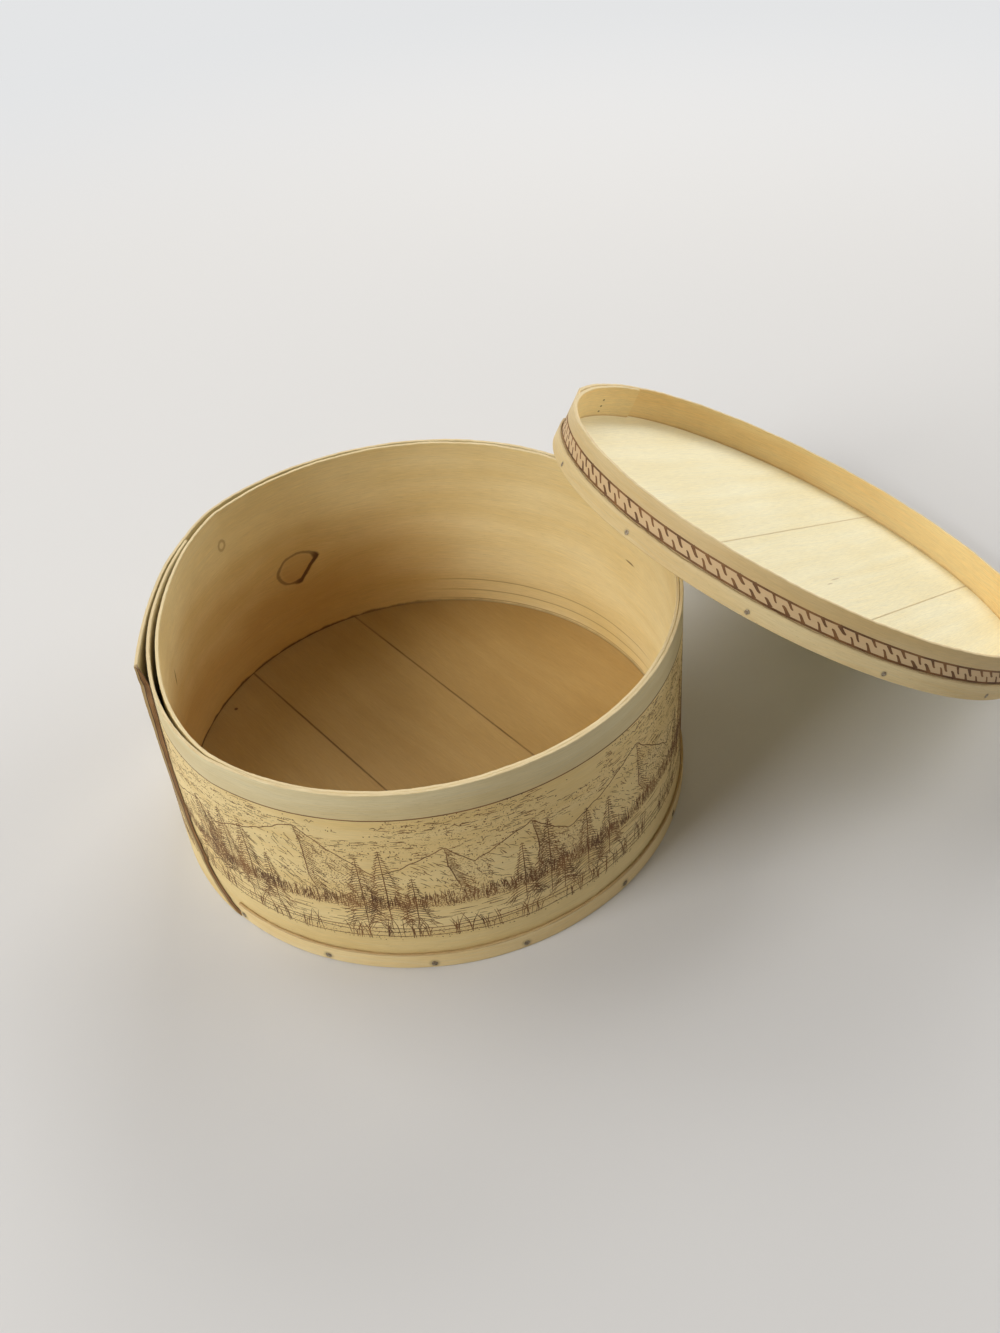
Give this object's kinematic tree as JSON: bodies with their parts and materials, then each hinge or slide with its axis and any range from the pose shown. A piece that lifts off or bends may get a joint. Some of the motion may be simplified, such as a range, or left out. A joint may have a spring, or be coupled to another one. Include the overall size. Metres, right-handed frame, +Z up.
{
  "type": "round bentwood cheese box",
  "caption": "Round bentwood cheese box with a lapped two-ply side, boarded bottom and nailed foot hoop, its shallow boarded lid leaning open side up on the rim.",
  "frame": {"origin": "middle of the box's base, on the surface that it stands on", "axes": "+Z up along the box's axis, +X from the box towards the leaning lid"},
  "size_m": [0.7212, 0.4405, 0.2467],
  "materials": {
    "outer_ply": "bare sanded veneer",
    "inner_ply": "bare veneer",
    "bottom_boards": "bare planed board",
    "hoop_wood": "bare veneer strip",
    "lid_ply": "bare veneer",
    "lid_boards": "bare planed board",
    "dull_steel": "dull oxidised wire"
  },
  "bodies": {
    "box": {"inner_side": "inner_ply", "outer_side": "outer_ply", "side_lap_tacks": "dull_steel", "bottom_board_1": "bottom_boards", "bottom_board_2": "bottom_boards", "bottom_board_3": "bottom_boards", "bottom_hoop": "hoop_wood", "hoop_nails": "dull_steel"},
    "lid": {"lid_rim": "lid_ply", "lid_lap_tacks": "dull_steel", "lid_board_1": "lid_boards", "lid_board_2": "lid_boards", "lid_board_3": "lid_boards", "lid_hoop": "hoop_wood", "lid_nails": "dull_steel"}
  },
  "joints": [
    {"name": "lid_lift", "type": "slide", "parent": "box", "child": "lid", "axis": [0, 0, 1], "range_m": [0, 0.25]}
  ]
}
